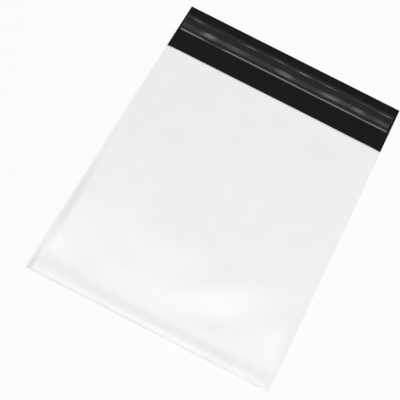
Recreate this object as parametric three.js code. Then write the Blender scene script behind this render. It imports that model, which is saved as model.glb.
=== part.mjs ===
// Poly mailer bag: a flat pocket of thin film with a folded bottom, welded sides and an open mouth,
// whose back wall runs on as a flap with a glue strip under a peel-off liner.
// Millimetres, +Z up. X runs across the bag, +Y from the bottom fold to the flap's free edge,
// and the back wall lies on z = 0.

import * as THREE from 'three';
import { ParametricGeometry } from 'three/addons/geometries/ParametricGeometry.js';
import { mergeGeometries, mergeVertices } from 'three/addons/utils/BufferGeometryUtils.js';

// Film and outline of the bag
const BAG_WIDTH = 254;
const POCKET_LENGTH = 330;
const FLAP_LENGTH = 67.5;
const FILM_GAUGE = 0.07;
const SIDE_WELD = 3;

// Heights of the loose front wall above the surface the bag lies on
const FOLD_HEIGHT = 2.6;
const VALLEY_HEIGHT = 1.2;
const PUFF_HEIGHT = 3.6;
const MOUTH_HEIGHT = 0.6;

// Distances over which the front wall changes height
const VALLEY_SETBACK = 14;
const PUFF_RISE = 60;
const MOUTH_FALL = 210;
const SIDE_ROLL = 32;

// Glue strip and its liner, placed by the strip's middle line
const STRIP_SETBACK = 25;
const GLUE_WIDTH = 17;
const GLUE_THICKNESS = 0.1;
const GLUE_EDGE = 0.6;
const GLUE_END_INSET = 4;
const LINER_WIDTH = 27;
const LINER_GAUGE = 0.05;
const LINER_END_INSET = 2;
const LINER_RIPPLE = 0.6;
const LINER_PRESS_INSET = 2.5;
const LINER_CLEARANCE = 0.02;

// Fineness of the surfaces
const POCKET_COLUMNS = 22;
const POCKET_ROWS = 26;
const FLAP_ROWS = 3;
const FOLD_STEPS = 6;
const ROW_CROWDING = 1.6;
const LINER_STEPS = 48;

const foldY = -(POCKET_LENGTH + FLAP_LENGTH) / 2;
const mouthY = foldY + POCKET_LENGTH;
const flapY = mouthY + FLAP_LENGTH;
const weldX = BAG_WIDTH / 2 - SIDE_WELD;
const weldHeight = 2 * FILM_GAUGE;

const smooth = THREE.MathUtils.smoothstep;
const blend = THREE.MathUtils.lerp;

// Columns across the bag, crowded towards the welds, with one more column at each cut edge
const columnX = [-BAG_WIDTH / 2];
for (let i = 0; i <= POCKET_COLUMNS; i += 1) {
  columnX.push(-weldX * Math.cos((Math.PI * i) / POCKET_COLUMNS));
}
columnX.push(BAG_WIDTH / 2);
const lastColumn = columnX.length - 1;

// Share of the full height at a column: none on the welds, all of it past the side roll
function fullness(x) {
  const inFromWeld = THREE.MathUtils.clamp((weldX - Math.abs(x)) / SIDE_ROLL, 0, 1);
  return Math.sin((inFromWeld * Math.PI) / 2);
}

// Height of the front wall's outer face at a column and a distance from the bottom fold
function frontHeight(x, fromFold) {
  const behindFold = blend(FOLD_HEIGHT, VALLEY_HEIGHT, smooth(fromFold, FOLD_HEIGHT / 2, VALLEY_SETBACK));
  const rise = smooth(fromFold, VALLEY_SETBACK, VALLEY_SETBACK + PUFF_RISE);
  const body = blend(behindFold, PUFF_HEIGHT, rise);
  const fall = smooth(fromFold, POCKET_LENGTH - MOUTH_FALL, POCKET_LENGTH);
  const middle = blend(body, MOUTH_HEIGHT, fall);
  return blend(weldHeight, middle, fullness(x));
}

// Outer radius of the rounded bottom fold at a column
function foldRadius(x) {
  return frontHeight(x, 0) / 2;
}

// Distance from the bottom fold of a pocket row at a column, crowded towards the fold
function rowFromFold(x, row) {
  const start = foldRadius(x);
  return start + (POCKET_LENGTH - start) * Math.pow(row / POCKET_ROWS, ROW_CROWDING);
}

// Points of the film: on the front and back walls, the flap, and the half round of the fold
function frontPoint(column, row, inset) {
  const x = columnX[column];
  const fromFold = rowFromFold(x, row);
  return [x, foldY + fromFold, frontHeight(x, fromFold) - inset];
}

function backPoint(column, row, z) {
  const x = columnX[column];
  return [x, foldY + rowFromFold(x, row), z];
}

function flapPoint(column, row, z) {
  return [columnX[column], mouthY + (FLAP_LENGTH * row) / FLAP_ROWS, z];
}

function foldPoint(column, step, inset) {
  const x = columnX[column];
  const middle = foldRadius(x);
  const radius = middle - inset;
  const turn = Math.PI * (step / FOLD_STEPS - 0.5);
  return [x, foldY + middle - radius * Math.cos(turn), middle + radius * Math.sin(turn)];
}

// A grid surface through the points at(i, j), facing the way that i turned to j gives
function skin(across, along, at) {
  const place = (u, v, target) => target.set(...at(Math.round(u * across), Math.round(v * along)));
  return new ParametricGeometry(place, across, along);
}

// Joins skins that share their edges into one closed surface, without collapsed triangles
function closedSurface(skins) {
  for (const part of skins) {
    part.deleteAttribute('normal');
    part.deleteAttribute('uv');
  }
  const joined = mergeVertices(mergeGeometries(skins), 1e-4);
  const corners = joined.getIndex().array;
  const kept = [];
  for (let k = 0; k < corners.length; k += 3) {
    const [a, b, c] = corners.slice(k, k + 3);
    if (a !== b && b !== c && c !== a) {
      kept.push(a, b, c);
    }
  }
  joined.setIndex(kept);
  joined.computeVertexNormals();
  return joined;
}

// Cut edge of the film at one side of the bag, as two layers that meet on the weld's seam
function sideEdge(column) {
  const right = column === lastColumn;
  const wayUp = (count, at) => skin(count, 1, (i, j) => at(right ? i : count - i, j));
  return [
    wayUp(POCKET_ROWS, (row, layer) => backPoint(column, row, layer * FILM_GAUGE)),
    wayUp(POCKET_ROWS, (row, layer) => frontPoint(column, row, (1 - layer) * FILM_GAUGE)),
    wayUp(FLAP_ROWS, (row, layer) => flapPoint(column, row, layer * FILM_GAUGE)),
    skin(1, FOLD_STEPS, (i, step) => foldPoint(column, step, (right ? i : 1 - i) * FILM_GAUGE)),
  ];
}

// The film: outer face from the flap round the fold to the mouth, then the pocket's inside and the edges
function filmGeometry() {
  const inside = lastColumn - 2;
  const outerFace = [
    skin(lastColumn, FLAP_ROWS, (i, j) => flapPoint(i, FLAP_ROWS - j, 0)),
    skin(lastColumn, POCKET_ROWS, (i, j) => backPoint(i, POCKET_ROWS - j, 0)),
    skin(lastColumn, FOLD_STEPS, (i, j) => foldPoint(i, j, 0)),
    skin(lastColumn, POCKET_ROWS, (i, j) => frontPoint(i, j, 0)),
  ];
  const innerFace = [
    skin(inside, POCKET_ROWS, (i, j) => frontPoint(i + 1, POCKET_ROWS - j, FILM_GAUGE)),
    skin(inside, FOLD_STEPS, (i, j) => foldPoint(i + 1, FOLD_STEPS - j, FILM_GAUGE)),
    skin(inside, POCKET_ROWS, (i, j) => backPoint(i + 1, j, FILM_GAUGE)),
    skin(lastColumn, FLAP_ROWS, (i, j) => flapPoint(i, j, FILM_GAUGE)),
  ];
  const cutEdges = [
    skin(lastColumn, 1, (i, j) => frontPoint(i, POCKET_ROWS, j * FILM_GAUGE)),
    skin(lastColumn, 1, (i, j) => flapPoint(i, FLAP_ROWS, (1 - j) * FILM_GAUGE)),
    ...sideEdge(0),
    ...sideEdge(lastColumn),
  ];
  return closedSurface([...outerFace, ...innerFace, ...cutEdges]);
}

// A section drawn across the strip (towards the flap's edge, up from the flap), run along the bag's width
function stripGeometry(section, length) {
  const solid = new THREE.ExtrudeGeometry(new THREE.Shape(section), { depth: length, bevelEnabled: false });
  const toBag = new THREE.Matrix4().makeBasis(
    new THREE.Vector3(0, 1, 0),
    new THREE.Vector3(0, 0, 1),
    new THREE.Vector3(1, 0, 0),
  );
  solid.applyMatrix4(toBag);
  solid.translate(-length / 2, flapY - STRIP_SETBACK, FILM_GAUGE);
  return solid;
}

// Glue: a low band with sloping edges, face to face on the flap
function glueGeometry() {
  const half = GLUE_WIDTH / 2;
  const section = [
    new THREE.Vector2(-half, 0),
    new THREE.Vector2(half, 0),
    new THREE.Vector2(half - GLUE_EDGE, GLUE_THICKNESS),
    new THREE.Vector2(GLUE_EDGE - half, GLUE_THICKNESS),
  ];
  return stripGeometry(section, BAG_WIDTH - 2 * GLUE_END_INSET);
}

// Liner: pressed to the glue along two lines, bowed up between them and along both dry edges
function linerGeometry() {
  const half = LINER_WIDTH / 2;
  const press = GLUE_WIDTH / 2 - LINER_PRESS_INSET;
  const dryCrest = (GLUE_WIDTH / 2 + half) / 2;
  const low = LINER_CLEARANCE;
  const pressed = GLUE_THICKNESS + LINER_CLEARANCE;
  const crest = pressed + LINER_RIPPLE;
  const underside = new THREE.SplineCurve([
    new THREE.Vector2(-half, low),
    new THREE.Vector2(-dryCrest, crest),
    new THREE.Vector2(-press, pressed),
    new THREE.Vector2(0, crest),
    new THREE.Vector2(press, pressed),
    new THREE.Vector2(dryCrest, crest),
    new THREE.Vector2(half, low),
  ]).getPoints(LINER_STEPS);
  const topside = underside.map((point) => new THREE.Vector2(point.x, point.y + LINER_GAUGE));
  return stripGeometry([...underside, ...topside.reverse()], BAG_WIDTH - 2 * LINER_END_INSET);
}

function piece(name, geometry, colour, roughness) {
  const material = new THREE.MeshStandardMaterial({ color: colour, roughness, metalness: 0 });
  const mesh = new THREE.Mesh(geometry, material);
  mesh.name = name;
  return mesh;
}

const mailer = new THREE.Group();
mailer.name = 'poly_mailer_bag';
mailer.add(piece('bag_film', filmGeometry(), 0xececec, 0.4));
mailer.add(piece('glue_strip', glueGeometry(), 0xd8cfa8, 0.5));
mailer.add(piece('release_liner', linerGeometry(), 0x1c1c1c, 0.25));

export default mailer;
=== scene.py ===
# Poly mailer bag: one film folded at the bottom and welded down both sides, white outside and black inside,
# lying with its flap open. A glossy black liner covers the glue strip on the flap.
# Metres, in the part's own frame: X across the bag, +Y from the bottom fold to the flap, +Z up.

import math

import bpy
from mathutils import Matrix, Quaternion, Vector, noise


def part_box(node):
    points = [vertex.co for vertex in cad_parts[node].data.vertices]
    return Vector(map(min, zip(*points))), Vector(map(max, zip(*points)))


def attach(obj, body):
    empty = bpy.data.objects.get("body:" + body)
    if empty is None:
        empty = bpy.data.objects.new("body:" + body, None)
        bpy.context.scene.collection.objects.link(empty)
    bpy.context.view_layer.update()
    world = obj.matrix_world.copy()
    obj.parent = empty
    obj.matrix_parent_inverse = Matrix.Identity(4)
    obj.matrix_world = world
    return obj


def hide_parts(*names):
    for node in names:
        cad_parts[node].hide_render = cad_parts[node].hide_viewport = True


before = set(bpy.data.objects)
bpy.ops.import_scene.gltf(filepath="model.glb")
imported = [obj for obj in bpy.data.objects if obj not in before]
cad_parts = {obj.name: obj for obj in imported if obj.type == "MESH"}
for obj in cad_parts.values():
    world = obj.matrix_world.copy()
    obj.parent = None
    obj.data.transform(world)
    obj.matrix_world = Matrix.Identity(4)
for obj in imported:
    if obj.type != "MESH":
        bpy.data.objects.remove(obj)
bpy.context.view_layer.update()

MM = 0.001

# Places of the part's own pieces
film_low, film_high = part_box("bag_film")
glue_low, glue_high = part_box("glue_strip")
liner_low, liner_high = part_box("release_liner")

# Film and outline
POCKET_LENGTH = 330 * MM
FILM_GAUGE = 0.07 * MM
SIDE_WELD = 1.2 * MM
BEAD_HEIGHT = 0.1 * MM
BEAD_SETBACK = 0.4 * MM
BEAD_WIDTH = 0.3 * MM

film_width = film_high.x - film_low.x
fold_y = film_low.y
mouth_y = fold_y + POCKET_LENGTH
flap_y = film_high.y
half_width = film_width / 2
weld_x = half_width - SIDE_WELD

# Grid of the film: counts of rows, or the first step, its growth and the largest step
COLUMN_STEPS = (0.12 * MM, 1.25, 2.2 * MM)
FRONT_STEPS = (0.4 * MM, 1.2, 2.2 * MM)
FLAP_ROWS = 26
BACK_ROWS = 44
FOLD_ROWS = 16

# Heights of the loose front wall, and the distances over which they change. The bow is the drop towards the
# fold's edge, per square of the distance, and the left valley's span is measured from the bag's middle
FOLD_HEIGHT = 2.3 * MM
FOLD_DEPTH = 4.8 * MM
FOLD_BOW = 20
FOLD_UNEVEN = 0.12
FOLD_SPACING = 55 * MM
VALLEY_HEIGHT = 1.4 * MM
VALLEY_SETBACK = 19 * MM
LEFT_VALLEY = 8 * MM
LEFT_VALLEY_SPAN = (55 * MM, 100 * MM)
PUFF_HEIGHT = 3.1 * MM
PUFF_START = 27 * MM
PUFF_END = 96 * MM
PUFF_SOFTNESS = 5 * MM
MOUTH_HEIGHT = 0.6 * MM
MOUTH_FALL = 232 * MM
MOUTH_SOFTNESS = 12 * MM

# Rolls beside the welds: widths, and the share of the puff that rises in the narrow roll
EDGE_ROLL = 13 * MM
CORNER_ROLL = 8 * MM
CORNER_SPAN = (VALLEY_SETBACK, 3 * VALLEY_SETBACK)
LEFT_SHARE = 0.8
RIGHT_SHARE = 0.3
SIDE_ROLL = 112 * MM
ROLL_FADE = (90 * MM, 180 * MM)

# Soft swells and dents of the front wall: mm from the left edge and from the fold, reach along and across
# in mm, turn in degrees, height in mm
SWELLS = [
    (166, 73, 50, 19, 42, 0.86),
    (186, 51, 50, 19, 42, -0.86),
    (242, 62, 14, 26, 0, 0.75),
    (112, 98, 28, 20, 0, 0.35),
    (54, 214, 22, 22, 0, 0.3),
    (58, 272, 24, 13, 20, 0.2),
    (81, 48, 22, 15, 0, 0.4),
    (17, 80, 11, 52, 0, 0.95),
    (48, 85, 32, 46, 0, -0.95),
]
SWELL_SPAN = (VALLEY_SETBACK, 2.5 * VALLEY_SETBACK)

# Fine unevenness of the film
LIP_WANDER = 0.25 * MM
LIP_SPACING = 38 * MM
LIP_SPAN = (0.7 * POCKET_LENGTH, POCKET_LENGTH)
SAG_HEIGHT = 0.22 * MM
SAG_SPACING = 46 * MM
PUCKER_HEIGHT = 0.28 * MM
PUCKER_SPACING = 9 * MM
PUCKER_START = 2 * MM
PUCKER_REACH = 7 * MM

# Glue band: its heights are shares of its thickness
GLUE_EDGE = 0.8 * MM
GLUE_EDGE_LEVEL = 0.25
GLUE_LEVEL = 0.9
GLUE_UNEVEN = 0.1
GLUE_SPACING = 6 * MM
GLUE_SKIN = 0.02 * MM
GLUE_COLUMNS = 120
GLUE_ROWS = 20

# Liner: three long ripples, and the lines they follow across its width, measured from the edge nearest the
# flap's free edge
LINER_GAUGE = 0.05 * MM
LINER_SEAT = 0.06 * MM
LINER_EDGE = 1.2 * MM
LINER_COLUMNS = 180
LINER_ROWS = 60
SEAT_SPAN = (2 * MM, 6 * MM)
WAVE_HEIGHT = 0.42 * MM
WAVE_LINE = 2.9 * MM
WAVE_REACH = 2.1 * MM
WAVE_WANDER = 1.3 * MM
WAVE_SPACING = 26 * MM
CROWN_HEIGHT = 0.98 * MM
CROWN_RISE = (5.8 * MM, 12.8 * MM)
CROWN_FALL = (12.4 * MM, 22.9 * MM)
CROWN_WANDER = 1.2 * MM
CROWN_SPACING = 45 * MM
RIM_HEIGHT = 0.76 * MM
RIM_RISE = (21.9 * MM, 25.1 * MM)
RIM_LINE = 24.6 * MM
RIM_SLOPE = 0.26
CURL_REACH = 2.2 * MM

# Places where the liner lifts: mm from the left edge, reach along it in mm, height in mm
WAVE_LIFTS = [
    (16, 9, 0.22), (79, 10, 0.22), (114, 9, 0.24), (144, 10, 0.28), (174, 12, 0.2), (218, 20, 0.12),
    (245, 10, 0.2),
]
CROWN_LIFTS = [
    (34, 9, 0.62), (66, 13, 0.32), (126, 12, 0.52), (181, 14, 0.5), (214, 9, 0.48), (242, 10, 0.25),
]
EDGE_CURLS = [
    (36, 7, 0.26), (94, 5, 0.3), (129, 4, 0.3), (158, 6, 0.3), (191, 4, 0.26), (211, 5, 0.26),
]
# Places where the liner's rim drops: the same, with the drop as a share of the rim's height
RIM_DROPS = [(43, 14, -0.5), (166, 5, -0.15), (224, 7, -0.2)]

# Each uneven form takes its own layer of the noise
LAYER_GAP = 7.31
FOLD_LAYER = 1
SAG_LAYER = 2
PUCKER_LAYER = 3
LIP_LAYER = 4
GLUE_LAYER = 5
WAVE_LAYER = 6
CROWN_LAYER = 8

# Finishes
MOTTLE_DETAIL = 3
NOISE_LOW = 0.3
NOISE_HIGH = 0.7
DIE_LINE_SCALE = 60
DIE_LINE_STRETCH = (0.35, 9, 1)
DIE_LINE_DEPTH = 0.01 * MM
DRAW_LINE_STRETCH = (0.2, 9, 1)
DRAW_LINE_DEPTH = 0.003 * MM
GLUE_GRAIN_DEPTH = 0.03 * MM

# Floor, light and camera
FLOOR_SIZE = 16.0
FLOOR_DROP = 0.1 * MM
FLOOR_TONE = 0.96
FLOOR_GLOW = 0.55
GLOW_STRENGTH = 0.97
WORLD_LEVEL = 0.25

CAMERA_PLACE = Vector((0.0586, -0.9291, 1.1536))
CAMERA_AIM = Vector((-0.0152, -0.0353, 0.0))
CAMERA_ROLL = math.radians(23.29)
CAMERA_LENS = 132.2
SENSOR_WIDTH = 36.0


# Small helpers

def ease(value, start, end):
    """Smooth step from 0 at start to 1 at end."""
    t = min(max((value - start) / (end - start), 0.0), 1.0)
    return t * t * (3 - 2 * t)


def mix(a, b, share):
    return a + (b - a) * share


def soft_ramp(value, start, end, softness):
    """Straight ramp from 0 at start to 1 at end, with its two corners rounded."""
    def bent(corner):
        return softness * math.log1p(math.exp((value - corner) / softness))
    return (bent(start) - bent(end)) / (end - start)


def hump(value, middle, reach):
    """Bell curve of height 1 at middle."""
    return math.exp(-((value - middle) / reach) ** 2)


def wander(x, y, spacing, layer):
    """Slow fixed wander between about -1 and 1, over a plan position."""
    return noise.noise(Vector((x / spacing, y / spacing, layer * LAYER_GAP)))


def growing_steps(length, first, growth, largest):
    """Distances from 0 to length, with steps that grow from first to largest."""
    marks = [0.0]
    step = first
    while marks[-1] < length:
        marks.append(marks[-1] + step)
        step = min(step * growth, largest)
    return [mark * length / marks[-1] for mark in marks]


def even_steps(length, count):
    return [length * k / count for k in range(count + 1)]


def select_only(piece):
    bpy.ops.object.select_all(action="DESELECT")
    piece.select_set(True)
    bpy.context.view_layer.objects.active = piece


def apply_modifier(piece, name):
    select_only(piece)
    bpy.ops.object.modifier_apply(modifier=name)


def laid_sheet(name, across, along, place):
    """A grid sheet whose point i, j goes from the flat cut to place(across[i], along[j])."""
    bpy.ops.object.select_all(action="DESELECT")
    bpy.ops.mesh.primitive_grid_add(
        x_subdivisions=len(across) - 1, y_subdivisions=len(along) - 1, size=1.0
    )
    sheet = bpy.context.active_object
    sheet.name = name
    sheet.data.name = name
    for point in sheet.data.vertices:
        i = round((point.co.x + 0.5) * (len(across) - 1))
        j = round((point.co.y + 0.5) * (len(along) - 1))
        point.co = place(across[i], along[j])
    bpy.ops.object.shade_smooth()
    return sheet


def thicken(sheet, gauge, inner_material=0):
    """Gives a sheet its gauge on the side away from its face."""
    wall = sheet.modifiers.new("gauge", "SOLIDIFY")
    wall.thickness = gauge
    wall.offset = -1
    wall.material_offset = inner_material
    apply_modifier(sheet, wall.name)


# Bag film

def rolled(x, reach):
    """Share of a height at a column: none at the weld, all of it from reach inwards."""
    inward = max(weld_x - abs(x), 0.0)
    return math.sin(min(inward / reach, 1.0) * math.pi / 2)


def edge_roll(from_fold):
    """Width of the roll beside the welds, tighter at the bottom corners."""
    return mix(CORNER_ROLL, EDGE_ROLL, ease(from_fold, *CORNER_SPAN))


def fullness(x, from_fold):
    """Share of the puff's height: part rises in the roll by the weld, the rest slowly to the middle."""
    share = LEFT_SHARE if x < 0 else RIGHT_SHARE
    share *= 1 - ease(from_fold, *ROLL_FADE)
    return mix(rolled(x, SIDE_ROLL), rolled(x, edge_roll(from_fold)), share)


def weld_height(x):
    """Height of the welded edge: two films thick, with the bead that the hot knife leaves."""
    from_edge = half_width - abs(x)
    return 2 * FILM_GAUGE + BEAD_HEIGHT * hump(from_edge, BEAD_SETBACK, BEAD_WIDTH)


def fold_swell(x):
    """Height of the ridge behind the fold, a little uneven along it."""
    return FOLD_HEIGHT * (1 + FOLD_UNEVEN * wander(x, 0.0, FOLD_SPACING, FOLD_LAYER))


def front_middle(x, from_fold):
    """Height of the front wall along the bag, away from its welded sides."""
    wider = LEFT_VALLEY * ease(-x, *LEFT_VALLEY_SPAN)
    ridge = (fold_swell(x) - VALLEY_HEIGHT) * (1 - ease(from_fold, FOLD_DEPTH, VALLEY_SETBACK + wider))
    ridge -= FOLD_BOW * max(FOLD_DEPTH - from_fold, 0.0) ** 2
    rise = soft_ramp(from_fold, PUFF_START + wider, PUFF_END + wider, PUFF_SOFTNESS)
    puff = (PUFF_HEIGHT - VALLEY_HEIGHT) * rise
    fall = soft_ramp(from_fold, POCKET_LENGTH - MOUTH_FALL, POCKET_LENGTH, MOUTH_SOFTNESS)
    return mix(VALLEY_HEIGHT + ridge + puff, MOUTH_HEIGHT, fall)


def swelling(x, from_fold):
    """Height that the soft swells and dents add at a place on the front wall."""
    height = 0.0
    for from_left, up, reach_along, reach_across, turn, rise in SWELLS:
        across = x + half_width - from_left * MM
        along = from_fold - up * MM
        c = math.cos(math.radians(turn))
        d = math.sin(math.radians(turn))
        height += rise * MM * hump(c * across + d * along, 0.0, reach_along * MM) * hump(
            c * along - d * across, 0.0, reach_across * MM
        )
    return height


def front_height(x, from_fold):
    """Height of the front wall's outer face at a place on it."""
    inward = max(weld_x - abs(x), 0.0)
    middle = front_middle(x, from_fold)
    low = min(middle, FOLD_HEIGHT)
    body = ease(from_fold, *SWELL_SPAN)
    sag = SAG_HEIGHT * wander(x, from_fold, SAG_SPACING, SAG_LAYER) + swelling(x, from_fold)
    edge = rolled(x, edge_roll(from_fold))
    height = mix(weld_height(x), low, edge) + (middle - low) * fullness(x, from_fold) + sag * body * edge
    pucker = math.exp(-inward / PUCKER_REACH) * (1 - math.exp(-inward / PUCKER_START))
    side = math.copysign(1.0, x)
    height += PUCKER_HEIGHT * pucker * wander(side, from_fold, PUCKER_SPACING, PUCKER_LAYER)
    return max(height, 2 * FILM_GAUGE)


def film_columns():
    half = growing_steps(half_width, *COLUMN_STEPS)
    left = [-half_width + mark for mark in half]
    return left[:-1] + [0.0] + [-x for x in reversed(left[:-1])]


def film_path():
    """Stations along the film, from the flap's free edge down the back, round the fold and up the front."""
    flap = [("flap", flap_y - mark) for mark in even_steps(flap_y - mouth_y, FLAP_ROWS)]
    back = [("back", share) for share in reversed(even_steps(1.0, BACK_ROWS)[:-1])]
    turn = [("fold", angle) for angle in even_steps(math.pi, FOLD_ROWS)[1:-1]]
    front = [("front", mark / POCKET_LENGTH) for mark in growing_steps(POCKET_LENGTH, *FRONT_STEPS)]
    return flap + back + turn + front


def film_place(x, station):
    wall, mark = station
    rise = front_height(x, FOLD_HEIGHT / 2) / 2
    if wall == "flap":
        return (x, mark, 0.0)
    if wall == "back":
        return (x, fold_y + mix(rise, POCKET_LENGTH, mark), 0.0)
    if wall == "fold":
        turn = mark - math.pi / 2
        return (x, fold_y + rise * (1 - math.cos(turn)), rise * (1 + math.sin(turn)))
    from_fold = mix(rise, POCKET_LENGTH, mark)
    lip = LIP_WANDER * wander(x, 0.0, LIP_SPACING, LIP_LAYER) * ease(from_fold, *LIP_SPAN)
    return (x, fold_y + from_fold + lip, front_height(x, from_fold))


def make_bag_film():
    film = laid_sheet("mailer_film", film_columns(), film_path(), film_place)
    film.data.materials.append(white_film())
    film.data.materials.append(black_film())
    thicken(film, FILM_GAUGE, inner_material=1)
    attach(film, "root")
    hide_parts("bag_film")


# Glue strip and liner

def make_glue_strip():
    length = glue_high.x - glue_low.x
    width = glue_high.y - glue_low.y
    thickness = glue_high.z - glue_low.z

    def place(x, y):
        from_side = min(y, width - y)
        from_end = min(x, length - x)
        edge = ease(from_side, 0.0, GLUE_EDGE) * ease(from_end, 0.0, GLUE_EDGE)
        level = GLUE_LEVEL + GLUE_UNEVEN * wander(x, y, GLUE_SPACING, GLUE_LAYER)
        height = thickness * mix(GLUE_EDGE_LEVEL, level, edge)
        return (glue_low.x + x, glue_low.y + y, glue_low.z + height)

    glue = laid_sheet("glue_band", even_steps(length, GLUE_COLUMNS), even_steps(width, GLUE_ROWS), place)
    glue.data.materials.append(glue_film())
    thicken(glue, GLUE_SKIN)
    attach(glue, "root")
    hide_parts("glue_strip")


def lift_at(x, lifts):
    """Sum of the lifts at a column of the liner, in the unit of their list."""
    from_left = x + half_width
    return sum(rise * hump(from_left, at * MM, reach * MM) for at, reach, rise in lifts)


def liner_height(x, across):
    """Height of the liner's upper face above the flap, across from its edge nearest the flap's free edge."""
    wave_line = WAVE_LINE + WAVE_WANDER * wander(x, 0.0, WAVE_SPACING, WAVE_LAYER)
    wave = (WAVE_HEIGHT + MM * lift_at(x, WAVE_LIFTS)) * hump(across, wave_line, WAVE_REACH)
    shift = CROWN_WANDER * wander(x, 0.0, CROWN_SPACING, CROWN_LAYER)
    crown = CROWN_HEIGHT + MM * lift_at(x, CROWN_LIFTS)
    crown *= ease(across - shift, *CROWN_RISE) * (1 - ease(across - shift, *CROWN_FALL))
    rim_rise = ease(across, *RIM_RISE)
    rim_fall = RIM_HEIGHT - RIM_SLOPE * max(across - RIM_LINE, 0.0)
    rim = (1 + lift_at(x, RIM_DROPS)) * rim_rise * rim_fall
    seat = (glue_high.z - glue_low.z) * ease(across, *SEAT_SPAN) * (1 - rim_rise)
    edge = ease(across, 0.0, LINER_EDGE)
    curl = MM * lift_at(x, EDGE_CURLS) * (1 - ease(across, 0.0, CURL_REACH))
    return LINER_SEAT + (seat + wave + crown) * edge + rim + curl


def make_liner():
    length = liner_high.x - liner_low.x
    width = liner_high.y - liner_low.y

    def place(x, y):
        height = liner_height(liner_low.x + x, width - y)
        return (liner_low.x + x, liner_low.y + y, FILM_GAUGE + height)

    columns = even_steps(length, LINER_COLUMNS)
    liner = laid_sheet("release_strip", columns, even_steps(width, LINER_ROWS), place)
    liner.data.materials.append(black_liner())
    thicken(liner, LINER_GAUGE)
    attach(liner, "root")
    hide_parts("release_liner")


# Materials

def new_finish(name):
    finish = bpy.data.materials.new(name)
    finish.use_nodes = True
    nodes = finish.node_tree.nodes
    links = finish.node_tree.links
    return finish, nodes, links, nodes["Principled BSDF"]


def plan_noise(nodes, links, scale, detail, stretch=(1, 1, 1)):
    """Noise on the piece's own coordinates, in cycles per metre, stretched along an axis if asked."""
    place = nodes.new("ShaderNodeTexCoord")
    fit = nodes.new("ShaderNodeMapping")
    fit.inputs["Scale"].default_value = stretch
    pattern = nodes.new("ShaderNodeTexNoise")
    pattern.inputs["Scale"].default_value = scale
    pattern.inputs["Detail"].default_value = detail
    links.new(place.outputs["Object"], fit.inputs["Vector"])
    links.new(fit.outputs["Vector"], pattern.inputs["Vector"])
    return pattern.outputs["Fac"]


def grey(level):
    return (level, level, level)


def mottled(nodes, links, shader, scale, dark, light):
    """Base colour that drifts between two tones."""
    ramp = nodes.new("ShaderNodeValToRGB")
    ramp.color_ramp.elements[0].position = NOISE_LOW
    ramp.color_ramp.elements[0].color = (*dark, 1)
    ramp.color_ramp.elements[1].position = NOISE_HIGH
    ramp.color_ramp.elements[1].color = (*light, 1)
    links.new(plan_noise(nodes, links, scale, MOTTLE_DETAIL), ramp.inputs["Fac"])
    links.new(ramp.outputs["Color"], shader.inputs["Base Color"])


def hazy(nodes, links, shader, haze, low, high):
    """Roughness that follows a noise value between low and high."""
    fit = nodes.new("ShaderNodeMapRange")
    fit.inputs["From Min"].default_value = NOISE_LOW
    fit.inputs["From Max"].default_value = NOISE_HIGH
    fit.inputs["To Min"].default_value = low
    fit.inputs["To Max"].default_value = high
    links.new(haze, fit.inputs["Value"])
    links.new(fit.outputs["Result"], shader.inputs["Roughness"])


def grain(nodes, links, shader, value, depth):
    """Raises a pattern from the surface by a depth in metres."""
    bump = nodes.new("ShaderNodeBump")
    bump.inputs["Distance"].default_value = depth
    links.new(value, bump.inputs["Height"])
    links.new(bump.outputs["Normal"], shader.inputs["Normal"])


def white_film():
    finish, nodes, links, shader = new_finish("white_film")
    mottled(nodes, links, shader, scale=38, dark=grey(0.845), light=grey(0.865))
    hazy(nodes, links, shader, plan_noise(nodes, links, scale=160, detail=4), low=0.285, high=0.335)
    die_lines = plan_noise(nodes, links, DIE_LINE_SCALE, detail=4, stretch=DIE_LINE_STRETCH)
    grain(nodes, links, shader, die_lines, DIE_LINE_DEPTH)
    return finish


def black_film():
    finish, nodes, links, shader = new_finish("black_film")
    mottled(nodes, links, shader, scale=45, dark=grey(0.0052), light=grey(0.0068))
    hazy(nodes, links, shader, plan_noise(nodes, links, scale=150, detail=4), low=0.5, high=0.6)
    shader.inputs["Specular IOR Level"].default_value = 0.08
    die_lines = plan_noise(nodes, links, DIE_LINE_SCALE, detail=4, stretch=DIE_LINE_STRETCH)
    grain(nodes, links, shader, die_lines, DIE_LINE_DEPTH)
    return finish


def black_liner():
    finish, nodes, links, shader = new_finish("black_liner")
    mottled(nodes, links, shader, scale=45, dark=grey(0.0036), light=grey(0.005))
    hazy(nodes, links, shader, plan_noise(nodes, links, scale=120, detail=4), low=0.22, high=0.27)
    shader.inputs["Specular IOR Level"].default_value = 0.55
    draw_lines = plan_noise(nodes, links, DIE_LINE_SCALE, detail=2, stretch=DRAW_LINE_STRETCH)
    grain(nodes, links, shader, draw_lines, DRAW_LINE_DEPTH)
    return finish


def glue_film():
    finish, nodes, links, shader = new_finish("amber_glue")
    mottled(nodes, links, shader, scale=90, dark=(0.60, 0.52, 0.30), light=(0.70, 0.62, 0.40))
    haze = plan_noise(nodes, links, scale=300, detail=3)
    hazy(nodes, links, shader, haze, low=0.3, high=0.5)
    grain(nodes, links, shader, haze, GLUE_GRAIN_DEPTH)
    return finish


# Floor, light and camera

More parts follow.
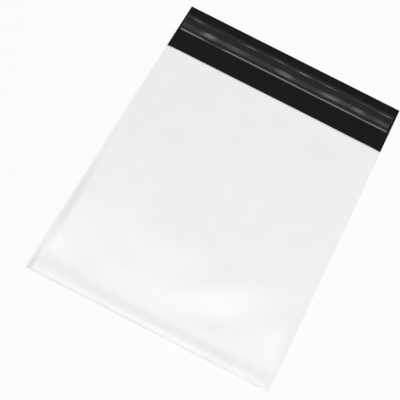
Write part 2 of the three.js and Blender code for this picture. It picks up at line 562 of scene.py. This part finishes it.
def floor_white():
    """White floor that shows the backdrop's white to the eye, and still takes the object's shadow."""
    finish, nodes, links, shader = new_finish("floor_white")
    shader.inputs["Base Color"].default_value = (*grey(FLOOR_TONE), 1)
    shader.inputs["Roughness"].default_value = 1.0
    shader.inputs["Specular IOR Level"].default_value = 0.0
    glow = nodes.new("ShaderNodeEmission")
    glow.inputs["Strength"].default_value = GLOW_STRENGTH
    path = nodes.new("ShaderNodeLightPath")
    seen = nodes.new("ShaderNodeMath")
    seen.operation = "ADD"
    seen_through = nodes.new("ShaderNodeMath")
    seen_through.operation = "ADD"
    share = nodes.new("ShaderNodeMath")
    share.operation = "MULTIPLY"
    share.inputs[1].default_value = FLOOR_GLOW
    both = nodes.new("ShaderNodeMixShader")
    links.new(path.outputs["Is Camera Ray"], seen.inputs[0])
    links.new(path.outputs["Is Glossy Ray"], seen.inputs[1])
    links.new(seen.outputs[0], seen_through.inputs[0])
    links.new(path.outputs["Is Transmission Ray"], seen_through.inputs[1])
    links.new(seen_through.outputs[0], share.inputs[0])
    links.new(share.outputs[0], both.inputs["Fac"])
    links.new(shader.outputs["BSDF"], both.inputs[1])
    links.new(glow.outputs["Emission"], both.inputs[2])
    links.new(both.outputs["Shader"], nodes["Material Output"].inputs["Surface"])
    return finish


def make_floor():
    bpy.ops.object.select_all(action="DESELECT")
    bpy.ops.mesh.primitive_plane_add(size=FLOOR_SIZE, location=(0, 0, -FLOOR_DROP))
    floor = bpy.context.active_object
    floor.name = "floor"
    floor.data.materials.append(floor_white())


def softbox(name, place, width, height, radiance):
    """Area lamp aimed at the bag, as bright as radiance times a white surface in full light."""
    bpy.ops.object.light_add(type="AREA", location=place)
    lamp = bpy.context.active_object
    lamp.name = name
    lamp.data.shape = "RECTANGLE"
    lamp.data.size = width
    lamp.data.size_y = height
    lamp.data.energy = radiance * math.pi * width * height
    lamp.rotation_euler = (-Vector(place)).to_track_quat("-Z", "Y").to_euler()


def light_the_bag():
    world = bpy.data.worlds.new("studio")
    bpy.context.scene.world = world
    world.use_nodes = True
    sky = world.node_tree.nodes["Background"]
    sky.inputs["Color"].default_value = (1, 1, 1, 1)
    sky.inputs["Strength"].default_value = WORLD_LEVEL
    softbox("front_box", place=(0.75, -1.45, 1.35), width=3.6, height=1.8, radiance=1.82)
    softbox("top_box", place=(0.0, 0.53, 1.46), width=2.0, height=0.33, radiance=5.6)
    softbox("left_box", place=(-0.70, 0.76, 1.18), width=0.3, height=0.5, radiance=4.2)


def aim_camera():
    bpy.ops.object.camera_add(location=CAMERA_PLACE)
    camera = bpy.context.active_object
    camera.name = "photo_camera"
    camera.data.lens = CAMERA_LENS
    camera.data.sensor_width = SENSOR_WIDTH
    look = (CAMERA_AIM - CAMERA_PLACE).to_track_quat("-Z", "Y")
    camera.rotation_euler = (look @ Quaternion((0, 0, 1), CAMERA_ROLL)).to_euler()
    bpy.context.scene.camera = camera


make_bag_film()
make_glue_strip()
make_liner()
make_floor()
light_the_bag()
aim_camera()

bpy.context.scene.view_settings.view_transform = "Standard"
